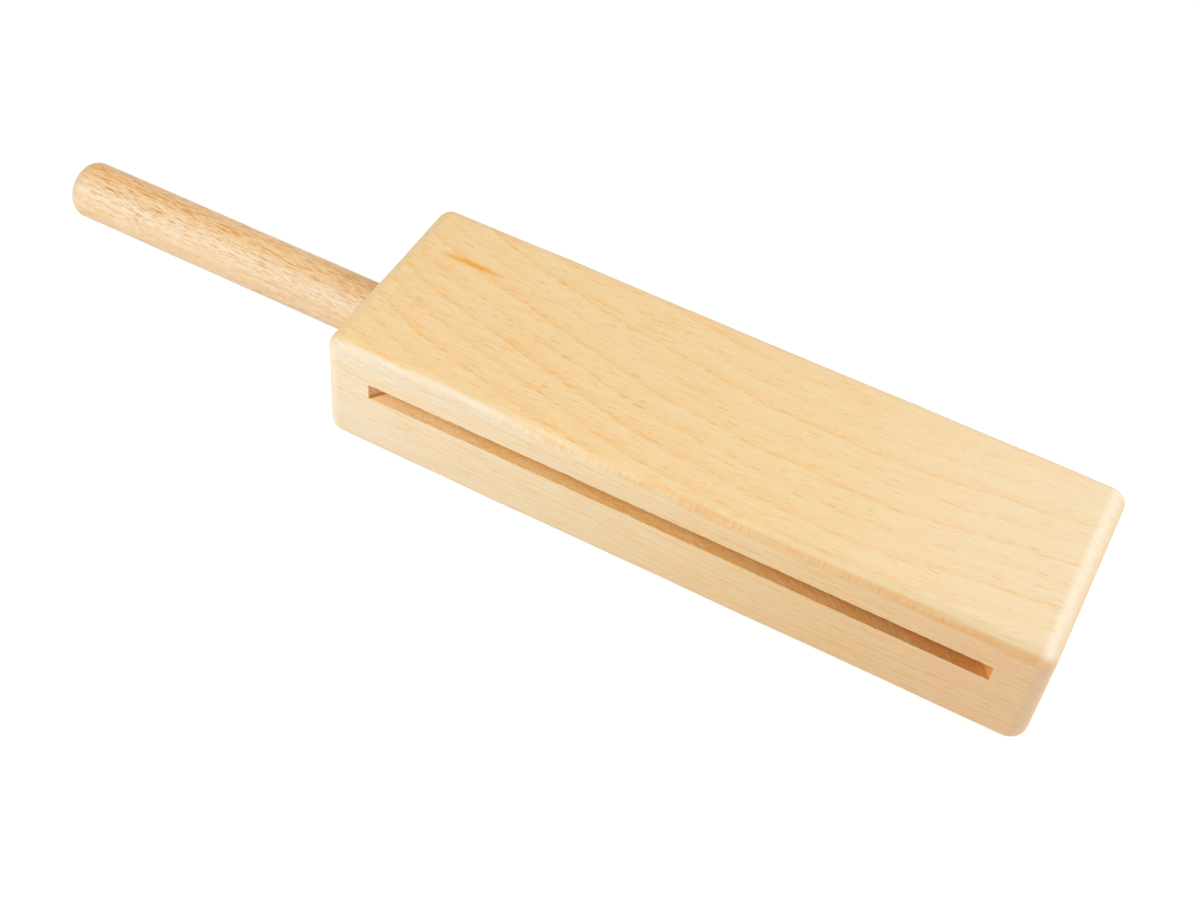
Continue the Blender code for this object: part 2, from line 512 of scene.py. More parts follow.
def growth_rings(tree, place, wood):
    """0 in the spring wood, 1 at the sharp dark edge of each ring, less in some years than in others."""
    depth = add(tree, VECTOR, (place, wood.ring_lean), operation="DOT_PRODUCT")["Value"]
    years = add(tree, MATH, (depth, wood.ring * MM_PER_METRE), operation="DIVIDE")[0]
    years = add(tree, MATH, (years, RING_START), operation="ADD")[0]
    season = add(tree, MATH, {0: years}, operation="FRACT")[0]
    year = add(tree, MATH, {0: years}, operation="FLOOR")[0]
    edge = add(tree, RANGE, (season, *RING_EDGE), **SMOOTH)[0]
    line = add(tree, RANGE, (season, *RING_LINE), **SMOOTH)[0]
    fade = add(tree, RANGE, (season, *RING_FADE), interpolation_type="SMOOTHERSTEP")[0]
    luck = add(tree, "ShaderNodeTexWhiteNoise", {"W": year}, noise_dimensions="1D")["Value"]
    strength = add(tree, RANGE, (luck, *RING_LUCK))[0]
    ring = add(tree, MATH, (line, fade), operation="ADD")[0]
    return overlap(tree, ring, edge, strength)


def ring_share(tree, place, normal, fibre, wood):
    """Wandering rings, ragged by the fibres, that fade as a face turns to the end and return on it."""
    ragged = add(tree, RANGE, (fibre, 0.0, 1.0, -RING_RAGGED, RING_RAGGED))[0]
    bent = wandering(tree, bowed(tree, place, *wood.ring_bow), *RING_WANDER)
    bent = add(tree, VECTOR, (bent, ragged), operation="ADD")[0]
    ring = growth_rings(tree, bent, wood)
    end = facing(tree, normal, (1.0, 0.0, 0.0))
    flat_sawn = add(tree, RANGE, (end, *RINGS_FADE))[0]
    end_grain = add(tree, RANGE, (end, *RINGS_RETURN))[0]
    shown = add(tree, MATH, (flat_sawn, end_grain), operation="MAXIMUM")[0]
    return overlap(tree, ring, shown)


def ray_flecks(tree, space, half, pitch, rarity):
    """Lens-shaped rays in a jittered lattice, long along the grain and thin across it, strong or weak."""
    cell = add(tree, VECTOR, (space, pitch), operation="DIVIDE")[0]
    near = add(tree, "ShaderNodeTexVoronoi", {"Vector": cell, "Scale": 1.0})
    away = add(tree, VECTOR, (cell, near["Position"]), operation="SUBTRACT")[0]
    stretch = Vector([step / size for step, size in zip(pitch, half)])
    away = add(tree, VECTOR, (away, stretch), operation="MULTIPLY")[0]
    luck = add(tree, "ShaderNodeSeparateColor", {0: near["Color"]})[0]
    strength = add(tree, MATH, (luck, rarity), operation="POWER")[0]
    return overlap(tree, soft_spot(tree, away, RAY_RIM), strength)


def ray_shares(tree, space, normal, ring, wood):
    """How far a face cuts across the rays, and the shares of small and of large rays that show on it."""
    half = Vector(wood.ray_half) * MM_PER_METRE
    pitch = Vector(wood.ray_pitch) * MM_PER_METRE
    square = facing(tree, normal, (0.0, math.sin(wood.ray_roll), math.cos(wood.ray_roll)))
    crossed = add(tree, RANGE, (square, *wood.ray_view))[0]
    cloud = streaks(tree, space, *CLOUD)
    crowd = add(tree, RANGE, (cloud, *RAY_CROWDS))[0]
    crowd = add(tree, MATH, (ring, wood.ray_crowding, crowd), operation="MULTIPLY_ADD")[0]
    shares = []
    for size in (SMALL_RAYS, 1.0):
        rays = ray_flecks(tree, space, half * size, pitch * size, wood.ray_rarity)
        shares.append(overlap(tree, crowd, crossed, rays))
    return crossed, *shares


def painted(tree, plain, plains, stains):
    """The plain colour, turned to other plain colours by their shares and then stained by shares."""
    colour = opaque(plain)
    for blend, layers in (("MIX", plains), ("MULTIPLY", stains)):
        for share, hue in layers:
            colour = add(tree, MIX, {
                0: share, MIX_A: colour, MIX_B: opaque(hue),
            }, data_type="RGBA", blend_type=blend)[MIX_COLOUR]
    return colour


def beech(name, wood, marks, sizes):
    """Beech, planed, sanded and oiled: soft rings, orange ray flecks, fine streaks, satin.

    The plain wood is turned to other plain colours here and there, painted light and shade among them, and
    then stained by its figure, which is calm in some places. Rays stain most where they are cut across, as on
    the striking face.
    """
    material, tree = new_material(name)
    where = add(tree, "ShaderNodeTexCoord")
    normal = where["Normal"]
    place = add(tree, VECTOR, {0: where["Object"], "Scale": MM_PER_METRE}, operation="SCALE")[0]
    straight = wandering(tree, bowed(tree, place, *wood.bow), *GRAIN_WANDER)
    space = add(tree, "ShaderNodeMapping", {
        "Vector": straight, "Rotation": (wood.ray_roll, 0.0, wood.slope),
    })[0]
    fibre, thread, pores = [streaks(tree, space, *grain) for grain in (FIBRE, THREAD, PORE)]
    ring = ring_share(tree, place, normal, fibre, wood)
    crossed, small_rays, large_rays = ray_shares(tree, space, normal, ring, wood)
    plains, stains, clear = marks(tree, place, fibre, wood, sizes)
    fine = add(tree, RANGE, (crossed, *FINE_SHARE))[0]
    broad = add(tree, RANGE, (crossed, *BROAD_SHARE))[0]
    figure = [
        (ring, wood.autumn),
        (add(tree, RANGE, (fibre, *FIBRE_SHOWS, 0.0, fine))[0], wood.autumn),
        (add(tree, RANGE, (thread, *THREAD_SHOWS, 0.0, broad))[0], wood.autumn),
        (add(tree, RANGE, (pores, *PORE_SHOWS))[0], wood.ray),
        (small_rays, wood.ray),
        (large_rays, wood.ray),
    ]
    figure = [(overlap(tree, share, clear), hue) for share, hue in figure]
    colour = painted(tree, wood.spring, plains, figure + stains)
    rough = add(tree, RANGE, (fibre, *WOOD_ROUGHNESS))[0]
    pits = add(tree, MATH, (large_rays, RAY_PIT, fibre), operation="MULTIPLY_ADD")[0]
    bump = add(tree, "ShaderNodeBump", {
        "Strength": BUMP_STRENGTH, "Distance": BUMP_HEIGHT, "Height": pits,
    })[0]
    shader = add(tree, PRINCIPLED, {
        "Base Color": colour, "Roughness": rough, "IOR": WOOD_IOR, "Normal": bump,
    })[0]
    add(tree, SURFACE, {0: shader})
    return material


def edge_flecks(tree, x, y, z, block):
    """Rays laid bare by the round-over: a row of soft flecks along the front edge; and a painted shade line
    with them, darker towards the far end.
    """
    radius = block.edge_radius * MM_PER_METRE
    middle = (
        0.0,
        radius * (1 - math.cos(FLECK_TURN)) - block.width * MM_PER_METRE / 2,
        radius * (math.sin(FLECK_TURN) - 1) + block.height * MM_PER_METRE,
    )
    section = add(tree, JOIN_XYZ, (0.0, y, z))[0]
    off = add(tree, VECTOR, (section, middle), operation="DISTANCE")["Value"]
    cell = add(tree, MATH, (x, FLECK_PITCH), operation="DIVIDE")[0]
    near = add(tree, "ShaderNodeTexVoronoi", {"W": cell, "Scale": 1.0}, voronoi_dimensions="1D")
    along = add(tree, MATH, (cell, near["W"]), operation="SUBTRACT")[0]
    along = add(tree, MATH, (along, FLECK_PITCH / FLECK_HALF[0]), operation="MULTIPLY")[0]
    across = add(tree, MATH, (off, FLECK_HALF[1]), operation="DIVIDE")[0]
    spot = add(tree, JOIN_XYZ, (along, across))[0]
    luck = add(tree, "ShaderNodeSeparateColor", {0: near["Color"]})[0]
    luck = add(tree, RANGE, (luck, *FLECK_LUCK))[0]
    reach = add(tree, MATH, (x, FLECK_MIDDLE), operation="SUBTRACT")[0]
    reach = add(tree, MATH, {0: reach}, operation="ABSOLUTE")[0]
    span = add(tree, RANGE, (reach, *FLECK_SPAN))[0]
    # Painted shade: a darker line along the front round-over, stronger towards the far end
    shade_line = add(tree, RANGE, (off, *SHADE_LINE_WIDTH), **SMOOTH)[0]
    tan = add(tree, RANGE, (x, *SHADE_LINE_ALONG))[0]
    return overlap(tree, soft_spot(tree, spot, SOFT_RIM), luck, span), overlap(tree, shade_line, tan)


def tone_and_painted_light(tree, x, y, z, wood, block):
    """The shares of the block's other plain colours, all painted light and shade but the far end's own warmer
    tone, and how clear its figure is.
    """
    down = add(tree, MATH, (block.height * MM_PER_METRE, z), operation="SUBTRACT")[0]
    inside = add(tree, MATH, (block.length * MM_PER_METRE / 2, x), operation="SUBTRACT")[0]
    fall = add(tree, RANGE, (x, *FRONT_FALL), **SMOOTH)[0]
    back = add(tree, MATH, (y, block.width * MM_PER_METRE / 2), operation="ADD")[0]
    back = add(tree, MATH, (back, fall), operation="ADD")[0]
    front = add(tree, RANGE, (back, *FRONT_SHEEN_EDGE), **SMOOTH)[0]
    upper = add(tree, MATH, (1.0, front), operation="SUBTRACT")[0]
    front_sheen, warm, top_light, calm = [
        add(tree, RANGE, (x, *along))[0] for along in (FRONT_SHEEN_ALONG, FAR_SHADE_ALONG, TOP_LIGHT_ALONG, CALM_ALONG)
    ]
    worn, edge_sheen_down, rim_highlight_in, rim_highlight_out, rim_highlight_down, end_in = [
        add(tree, RANGE, (place, *reach), **SMOOTH)[0] for place, reach in (
            (x, EDGE_SHEEN_ALONG), (down, EDGE_SHEEN_DOWN), (inside, RIM_HIGHLIGHT_IN),
            (inside, RIM_HIGHLIGHT_OUT), (down, RIM_HIGHLIGHT_DOWN), (inside, END_IN),
        )
    ]
    below_rim_highlight = add(tree, MATH, (1.0, rim_highlight_down), operation="SUBTRACT")[0]
    clear = add(tree, MATH, (1.0, overlap(tree, upper, calm)), operation="SUBTRACT")[0]
    plains = [
        # Painted sheen: the slotted face creamier towards the handle
        (overlap(tree, front, front_sheen), wood.pale),
        # Painted shade: the slotted face warmer and darker towards the far end
        (overlap(tree, front, warm), wood.warm),
        # Painted sheen on the round-over near the handle
        (overlap(tree, front, worn, edge_sheen_down), wood.worn),
        # Painted light: the top paler towards the far end
        (overlap(tree, upper, top_light), wood.pale),
        # The far end's own warmer tone, below the painted highlight
        (overlap(tree, end_in, below_rim_highlight), wood.warm),
        # Painted highlight along the far end's top edge
        (overlap(tree, rim_highlight_in, rim_highlight_out, rim_highlight_down), wood.rim),
    ]
    return plains, clear


def mineral_streak(tree, place, fibre, block):
    """The share of the one long dark wisp on the striking face near the handle."""
    spot = add(tree, "ShaderNodeMapping", {
        "Vector": place,
        "Location": (*STREAK_PLACE, block.height * MM_PER_METRE),
        "Scale": STREAK_HALF,
    }, vector_type="TEXTURE")[0]
    wisp = add(tree, MATH, (fibre, 0.5), operation="SUBTRACT")[0]
    spot = add(tree, VECTOR, (spot, wisp), operation="ADD")[0]
    return soft_spot(tree, spot, SOFT_RIM)


def sawn_slot(tree, place, x, y, z, wood, block):
    """Bare wood in the slot, with painted light towards the handle, pale scratches of the teeth, grit, and
    painted shade towards the far end and at the wall's foot.
    """
    floor = block.slot_floor * MM_PER_METRE
    half = block.slot_height * MM_PER_METRE / 2
    hub = Vector((block.mouth_centre, blade_hub(block), 0.0)) * MM_PER_METRE
    reach = block.blade_radius * MM_PER_METRE + SAWN_SKIN
    level = add(tree, MATH, (z, floor + half, half + SAWN_SKIN), operation="COMPARE")[0]
    flat = add(tree, JOIN_XYZ, (x, y))[0]
    turn = add(tree, VECTOR, (flat, hub), operation="DISTANCE")["Value"]
    within = add(tree, MATH, (turn, reach), operation="LESS_THAN")[0]
    sawn = overlap(tree, level, within)
    arcs = add(tree, JOIN_XYZ, (turn, x, z))[0]
    teeth = streaks(tree, arcs, *TEETH)
    scratch = add(tree, RANGE, (teeth, *SCRATCH_SHOWS))[0]
    # Painted light in the slot towards the handle, and the pale scratches of the teeth
    light_and_scratch = add(tree, RANGE, (x, *SLOT_LIGHT_ALONG))[0]
    light_and_scratch = add(tree, MATH, (light_and_scratch, scratch), operation="MAXIMUM")[0]
    grit = streaks(tree, place, *GRIT)
    grit = add(tree, RANGE, (grit, *GRIT_SHOWS))[0]
    # Painted shade: the slot darker towards the far end
    far_slot_shade = add(tree, RANGE, (x, *SLOT_SHADE_ALONG))[0]
    # Painted shade on the slot's end wall and a painted shadow at its foot, strongest near the handle
    foot = add(tree, RANGE, (turn, *[reach - depth for depth in FOOT_DEPTH]))[0]
    low = add(tree, RANGE, (z, *[floor + height for height in FOOT_HEIGHT], *FOOT_SHADE))[0]
    plains = [(sawn, wood.sawn), (overlap(tree, sawn, light_and_scratch), wood.dusty)]
    stains = [
        # Painted shade towards the far end
        (overlap(tree, sawn, far_slot_shade), wood.burnt),
        (overlap(tree, sawn, grit), wood.mineral),
        # Painted shade and shadow at the wall's foot
        (overlap(tree, sawn, foot, light_and_scratch, low), wood.burnt),
    ]
    return plains, stains


def block_marks(tree, place, fibre, wood, block):
    """What only the block shows: a drift of tone, much of it painted light and shade, one mineral streak, its
    front edge and the sawn slot.
    """
    x, y, z = add(tree, SPLIT_XYZ, {0: place})
    drift, clear = tone_and_painted_light(tree, x, y, z, wood, block)
    bare, slot_stains_and_shade = sawn_slot(tree, place, x, y, z, wood, block)
    streak = mineral_streak(tree, place, fibre, block)
    flecks, shade_line = edge_flecks(tree, x, y, z, block)
    stains = [(streak, wood.mineral), (flecks, wood.ray), (shade_line, wood.ray)]
    return drift + bare, stains + slot_stains_and_shade, clear


def handle_marks(tree, place, fibre, wood, handle):
    """The dowel's front side painted paler: a painted highlight."""
    side = add(tree, SPLIT_XYZ, {0: place})[1]
    side = add(tree, MATH, (side, -handle.radius * MM_PER_METRE), operation="DIVIDE")[0]
    # Painted highlight: the dowel paler on its front side
    highlight_in = add(tree, RANGE, (side, *HIGHLIGHT_SIDE_IN))[0]
    highlight_out = add(tree, RANGE, (side, *HIGHLIGHT_SIDE_OUT))[0]
    return [(overlap(tree, highlight_in, highlight_out), wood.pale)], [], 1.0


def clouded(name, size_mm, detail, low, high):
    """A new material and its tree, a cloud of noise in it, and a colour that drifts with the cloud."""
    material, tree = new_material(name)
    place = add(tree, "ShaderNodeTexCoord")["Object"]
    cloud = add(tree, NOISE, {"Vector": place, "Scale": MM_PER_METRE / size_mm, "Detail": detail})[0]
    colour = painted(tree, linear(low), [(cloud, linear(high))], [])
    return material, tree, cloud, colour


def wood_glue():
    """White wood glue, dried to a thin amber line and wiped: glossy, slightly cloudy."""
    material, tree, cloud, colour = clouded("dried_wood_glue", *GLUE_CLOUD, *GLUE_COLOURS)
    rough = add(tree, RANGE, (cloud, *GLUE_ROUGHNESS))[0]
    shader = add(tree, PRINCIPLED, {"Base Color": colour, "Roughness": rough, "IOR": GLUE_IOR})[0]
    add(tree, SURFACE, {0: shader})
    return material


def torn_fibre():
    """Bare beech fibre, torn by the blade: pale, dry and matte."""
    material, tree, cloud, colour = clouded("torn_beech_fibre", *TORN_CLOUD, *TORN_COLOURS)
    shader = add(tree, PRINCIPLED, {"Base Color": colour, "Roughness": TORN_ROUGHNESS, "IOR": TORN_IOR})[0]
    add(tree, SURFACE, {0: shader})
    return material


def seen_rays(tree):
    """1 for what the eye sees, straight or by reflection or through glass, and 0 for other light."""
    path = add(tree, "ShaderNodeLightPath")
    seen = add(tree, MATH, (path["Is Camera Ray"], path["Is Glossy Ray"]), operation="MAXIMUM")[0]
    return add(tree, MATH, (seen, path["Is Transmission Ray"]), operation="MAXIMUM")[0]


def white_board(colour):
    """Matte white board: to the eye it is white but for the shadow, to other light it is plain board."""
    material, tree = new_material("matte_white_board")
    board = add(tree, "ShaderNodeBsdfDiffuse", {"Color": opaque(colour)})[0]
    shadow = add(tree, "ShaderNodeBsdfDiffuse", {"Color": opaque(BOARD_SHADOW)})[0]
    white = add(tree, "ShaderNodeEmission", {"Color": opaque(WHITE), "Strength": BOARD_GLOW})[0]
    lit = add(tree, "ShaderNodeAddShader", (shadow, white))[0]
    shown = add(tree, "ShaderNodeMixShader", (seen_rays(tree), board, lit))[0]
    add(tree, SURFACE, {0: shown})
    return material


# Shapes


def shape_tree(name, sizes):
    """A Geometry Nodes tree with one named input for each size, and the sockets of those inputs."""
    tree = bpy.data.node_groups.new(name, "GeometryNodeTree")
    tree.interface.new_socket("Shape", in_out="OUTPUT", socket_type="NodeSocketGeometry")
    for label in sizes:
        kind = "NodeSocketInt" if isinstance(sizes[label], int) else "NodeSocketFloat"
        tree.interface.new_socket(label, in_out="INPUT", socket_type=kind)
    return tree, add(tree, "NodeGroupInput")


def close_tree(tree, geometry, material):
    """Ends a tree: instances are made real, and the material is set."""
    real = add(tree, "GeometryNodeRealizeInstances", {0: geometry})[0]
    dressed = add(tree, "GeometryNodeSetMaterial", {"Geometry": real, "Material": material})[0]
    add(tree, "NodeGroupOutput", {0: dressed})


def new_object(name, data):
    """A new object in the scene."""
    obj = bpy.data.objects.new(name, data)
    bpy.context.scene.collection.objects.link(obj)
    return obj


def plain_mesh(obj):
    """The object's evaluated mesh as a new object at the origin, in place of the old one."""
    name = obj.name
    graph = bpy.context.evaluated_depsgraph_get()
    mesh = bpy.data.meshes.new_from_object(obj.evaluated_get(graph))
    bpy.data.objects.remove(obj)
    mesh.name = name
    return new_object(name, mesh)


def grow(name, tree, sizes):
    """Runs a tree with these sizes and returns its result as a plain, smoothly shaded mesh object."""
    holder = new_object(name, bpy.data.meshes.new(name))
    modifier = holder.modifiers.new("shape", "NODES")
    modifier.node_group = tree
    for item in tree.interface.items_tree:
        if item.in_out == "INPUT":
            modifier[item.identifier] = sizes[item.name]
    piece = plain_mesh(holder)
    if not piece.data.polygons:
        raise RuntimeError(f"{name}: its tree made no faces")
    piece.data.shade_smooth()
    piece.data.set_sharp_from_angle(angle=SHARP_ANGLE)
    flat = piece.modifiers.new("flat_faces", "WEIGHTED_NORMAL")
    flat.keep_sharp = True
    return plain_mesh(piece)


def settle(piece, slot, *nodes):
    """Hands a finished piece to the frame."""
    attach(piece, BODY)
    if nodes:
        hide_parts(*nodes)


def rounded_box(tree, half, radius, wander):
    """A fine box whose edges and corners are rolled over, to a radius that wanders along them.

    Each axis of the box runs from -1 to 1: its outermost steps are bent into the round, the rest stays flat.
    """
    counts = [flat + 2 * EDGE_STEPS for flat in FLAT_STEPS]
    flat_share = Vector([flat / count for flat, count in zip(FLAT_STEPS, counts)])
    bend_rate = Vector([math.pi / 4 / (1 - share) for share in flat_share])
    box = add(tree, "GeometryNodeMeshCube", {
        "Size": (2.0, 2.0, 2.0),
        **{f"Vertices {axis}": count + 1 for axis, count in zip("XYZ", counts)},
    })["Mesh"]
    place = add(tree, "GeometryNodeInputPosition")[0]
    reach = add(tree, VECTOR, {0: place}, operation="ABSOLUTE")[0]
    side = add(tree, VECTOR, (place, reach), operation="DIVIDE")[0]
    past = add(tree, VECTOR, (reach, flat_share), operation="SUBTRACT")[0]
    past = add(tree, VECTOR, (past, (0.0, 0.0, 0.0)), operation="MAXIMUM")[0]
    bend = add(tree, VECTOR, (past, bend_rate), operation="MULTIPLY")[0]
    lean = add(tree, VECTOR, {0: bend}, operation="TANGENT")[0]
    lean = add(tree, VECTOR, (lean, side), operation="MULTIPLY")[0]
    outward = add(tree, VECTOR, {0: lean}, operation="NORMALIZE")[0]
    core = add(tree, VECTOR, (place, flat_share), operation="DIVIDE")[0]
    core = add(tree, VECTOR, (core, (1.0, 1.0, 1.0)), operation="MINIMUM")[0]
    core = add(tree, VECTOR, (core, (-1.0, -1.0, -1.0)), operation="MAXIMUM")[0]
    real = add(tree, VECTOR, (place, half), operation="MULTIPLY")[0]
    noise = add(tree, NOISE, {"Vector": real, "Scale": EDGE_WAVES, "Detail": 1.0})[0]
    drift = add(tree, MATH, (noise, 0.5), operation="SUBTRACT")[0]
    radius = add(tree, MATH, (drift, wander, radius), operation="MULTIPLY_ADD")[0]
    inset = add(tree, VECTOR, (half, radius), operation="SUBTRACT")[0]
    core = add(tree, VECTOR, (core, inset), operation="MULTIPLY")[0]
    skin = add(tree, VECTOR, {0: outward, "Scale": radius}, operation="SCALE")[0]
    spot = add(tree, VECTOR, (core, skin), operation="ADD")[0]
    return add(tree, RESHAPE, {"Geometry": box, "Position": spot})[0]


def named_sizes(group):
    """A group's settings under their names, as inputs of a tree."""
    labels = group.bl_rna.properties
    return {labels[key].name: getattr(group, key) for key in type(group).__annotations__}


def slot_sizes(block, front):
    """The tree inputs that place both lips of the slot, in a plane at front."""
    return {
        "Front": front,
        "Slot floor": block.slot_floor,
        "Slot roof": block.slot_floor + block.slot_height,
        "Mouth start": block.mouth_centre - block.mouth_length / 2,
        "Mouth length": block.mouth_length,
    }


def lip_points(tree, given, count, seed_step):
    """For each lip of the slot, its seed, and points along it that are each shifted a little."""
    lips = []
    step = add(tree, MATH, (given["Mouth length"], count), operation="DIVIDE")[0]
    stride = add(tree, JOIN_XYZ, {0: step})[0]
    for lip, height in enumerate(("Slot floor", "Slot roof")):
        seed = add(tree, MATH, (given["Seed"], lip * seed_step), operation="ADD")[0]
        start = add(tree, JOIN_XYZ, (given["Mouth start"], given["Front"], given[height]))[0]
        line = add(tree, "GeometryNodeMeshLine", {
            "Count": count, "Start Location": start, "Offset": stride,
        })[0]
        shift = add(tree, RANDOM, {
            RANDOM_LEAST: 0.0, RANDOM_MOST: step, "Seed": seed,
        }, data_type="FLOAT")[RANDOM_NUMBER]
        offset = add(tree, JOIN_XYZ, {0: shift})[0]
        lips.append((seed, add(tree, RESHAPE, {"Geometry": line, "Offset": offset})[0]))
    return lips


def lip_chips(tree, points, size, seed):
    """Small lens-shaped bites, long along the grain, that the blade tore out of a lip."""
    bite = add(tree, "GeometryNodeMeshIcoSphere", {"Radius": 1.0, "Subdivisions": CHIP_DETAIL})[0]
    spread = add(tree, RANDOM, {0: CHIP_LEAST, 1: CHIP_MOST, "Seed": seed}, data_type="FLOAT_VECTOR")[0]
    scale = add(tree, VECTOR, {0: spread, "Scale": size}, operation="SCALE")[0]
    bites = add(tree, ON_POINTS, {"Points": points, "Instance": bite, "Scale": scale})[0]
    return add(tree, "GeometryNodeRealizeInstances", {0: bites})[0]


def block_tree(sizes, material):
    """A rounded block, less the blade's plunge, the drilled bore and the chips along the slot's lips."""
    tree, given = shape_tree("slotted_block", sizes)
    outer = add(tree, JOIN_XYZ, (given["Length"], given["Width"], given["Height"]))[0]
    half = add(tree, VECTOR, {0: outer, "Scale": 0.5}, operation="SCALE")[0]
    body = rounded_box(tree, half, given["Edge radius"], given["Edge wander"])
    lift = add(tree, VECTOR, (half, (0.0, 0.0, 1.0)), operation="MULTIPLY")[0]
    body = add(tree, MOVE, {"Geometry": body, "Translation": lift})[0]
    level = add(tree, MATH, (given["Slot height"], 0.5, given["Slot floor"]), operation="MULTIPLY_ADD")[0]
    hub = add(tree, JOIN_XYZ, (given["Mouth centre"], given["Blade hub"], level))[0]
    blade = add(tree, CYLINDER, {
        "Vertices": BLADE_STEPS, "Radius": given["Blade radius"], "Depth": given["Slot height"],
    })["Mesh"]
    blade = add(tree, MOVE, {"Geometry": blade, "Translation": hub})[0]
    drill_length = add(tree, MATH, (given["Bore depth"], CUT_OVERRUN), operation="ADD")[0]
    drill = add(tree, CYLINDER, {
        "Vertices": ROUND_STEPS, "Radius": given["Bore radius"], "Depth": drill_length,
    })["Mesh"]
    drill_spot = add(tree, JOIN_XYZ, (given["Bore middle"], 0.0, given["Bore height"]))[0]
    drill = add(tree, MOVE, {"Geometry": drill, "Translation": drill_spot, "Rotation": UPRIGHT_TO_ALONG})[0]
    cutters = [blade, drill]
    for seed, points in lip_points(tree, given, given["Chips"], CHIP_SEED_STEP):
        cutters.append(lip_chips(tree, points, given["Chip size"], seed))
    cut = add(tree, "GeometryNodeMeshBoolean", {
        "Mesh 1": body, "Mesh 2": cutters,
    }, operation="DIFFERENCE", solver="EXACT")[0]
    clean = add(tree, "GeometryNodeMergeByDistance", {"Geometry": cut, "Distance": MERGE_REACH})[0]
    close_tree(tree, clean, material)
    return tree


class WOODBLOCK_OT_sound_block(Operator):
    """Makes the slotted block"""

    bl_idname = "woodblock.sound_block"
    bl_label = "Sound block"

    def execute(self, context):
        settings = context.scene.wood_block
        block = settings.block
        handle = settings.handle
        sizes = {
            **named_sizes(block),
            **slot_sizes(block, -block.width / 2),
            "Blade hub": blade_hub(block),
            "Bore radius": handle.radius + handle.glue_gap,
            "Bore middle": (block.bore_depth - CUT_OVERRUN - block.length) / 2,
            "Bore height": handle.axis_height,
        }
        material = beech("oiled_flat_sawn_beech", settings.block_beech, block_marks, block)
        piece = grow("beech_block", block_tree(sizes, material), sizes)
        settle(piece, "block_beech", "sound_block")
        return {"FINISHED"}


def handle_tree(sizes, material):
    """A bar turned about the handle's axis: straight from the tenon, then rolled over at the free end."""
    tree, given = shape_tree("turned_bar", sizes)
    steps = BAR_STEPS + TIP_STEPS
    straight = BAR_STEPS / steps
    bar = add(tree, CYLINDER, {
        "Vertices": ROUND_STEPS,
        "Side Segments": steps,
        "Fill Segments": CAP_STEPS,
        "Radius": 1.0,
        "Depth": 1.0,
    }, fill_type="TRIANGLE_FAN")["Mesh"]
    place = add(tree, "GeometryNodeInputPosition")[0]
    spot = add(tree, SPLIT_XYZ, {0: place})
    along = add(tree, MATH, (spot[2], 0.5), operation="ADD")[0]
    run = add(tree, RANGE, (along, 0.0, straight, 0.0, given["Straight length"]))[0]
    bend = add(tree, RANGE, (along, straight, 1.0, 0.0, math.pi / 2))[0]
    rise = add(tree, MATH, {0: bend}, operation="SINE")[0]
    close = add(tree, MATH, {0: bend}, operation="COSINE")[0]
    reach = add(tree, MATH, (rise, given["Tip radius"], run), operation="MULTIPLY_ADD")[0]
    shy = add(tree, MATH, (close, 1.0), operation="SUBTRACT")[0]
    around = add(tree, VECTOR, (place, BAR_WAVES), operation="MULTIPLY")[0]
    noise = add(tree, NOISE, {"Vector": around, "Scale": 1.0, "Detail": 1.0})[0]
    drift = add(tree, MATH, (noise, 1.0), operation="SUBTRACT")[0]
    thick = add(tree, MATH, (drift, given["Waver"], given["Radius"]), operation="MULTIPLY_ADD")[0]
    thick = add(tree, MATH, (shy, given["Tip radius"], thick), operation="MULTIPLY_ADD")[0]
    x = add(tree, MATH, (given["Tenon end"], reach), operation="SUBTRACT")[0]
    y = add(tree, MATH, (spot[1], thick), operation="MULTIPLY")[0]
    z = add(tree, MATH, (spot[0], thick, given["Axis height"]), operation="MULTIPLY_ADD")[0]
    placed = add(tree, JOIN_XYZ, (x, y, z))[0]
    bar = add(tree, RESHAPE, {"Geometry": bar, "Position": placed})[0]
    close_tree(tree, bar, material)
    return tree


class WOODBLOCK_OT_handle(Operator):
    """Makes the dowel handle"""

    bl_idname = "woodblock.handle"
    bl_label = "Handle"

    def execute(self, context):
        settings = context.scene.wood_block
        handle = settings.handle
        sizes = {
            "Radius": handle.radius,
            "Waver": handle.waver,
            "Tip radius": handle.tip_radius,
            "Straight length": HANDLE_HIGH.x - HANDLE_LOW.x - handle.tip_radius,
            "Tenon end": HANDLE_HIGH.x,
            "Axis height": handle.axis_height,
        }
        material = beech("oiled_beech_dowel", settings.handle_beech, handle_marks, handle)
        piece = grow("handle_bar", handle_tree(sizes, material), sizes)
        settle(piece, "handle_beech", "handle")
        return {"FINISHED"}


def glue_tree(sizes, material):
    """An uneven bead round the handle where it enters the block."""
    tree, given = shape_tree("glue_line", sizes)
    ring = add(tree, CIRCLE, {"Resolution": ROUND_STEPS, "Radius": given["Ring radius"]})[0]
    place = add(tree, "GeometryNodeInputPosition")[0]
    noise = add(tree, NOISE, {"Vector": place, "Scale": BEAD_WAVES, "Detail": 1.0})[0]
    swell = add(tree, RANGE, (noise, *BEAD_SWELL))[0]
    bead = add(tree, CIRCLE, {"Resolution": BEAD_STEPS, "Radius": given["Bead radius"]})[0]
    swept = add(tree, SWEEP, {"Curve": ring, "Profile Curve": bead, "Scale": swell})[0]
    spot = add(tree, JOIN_XYZ, (given["Mouth"], 0.0, given["Axis height"]))[0]
    placed = add(tree, MOVE, {"Geometry": swept, "Translation": spot, "Rotation": UPRIGHT_TO_ALONG})[0]
    close_tree(tree, placed, material)
    return tree


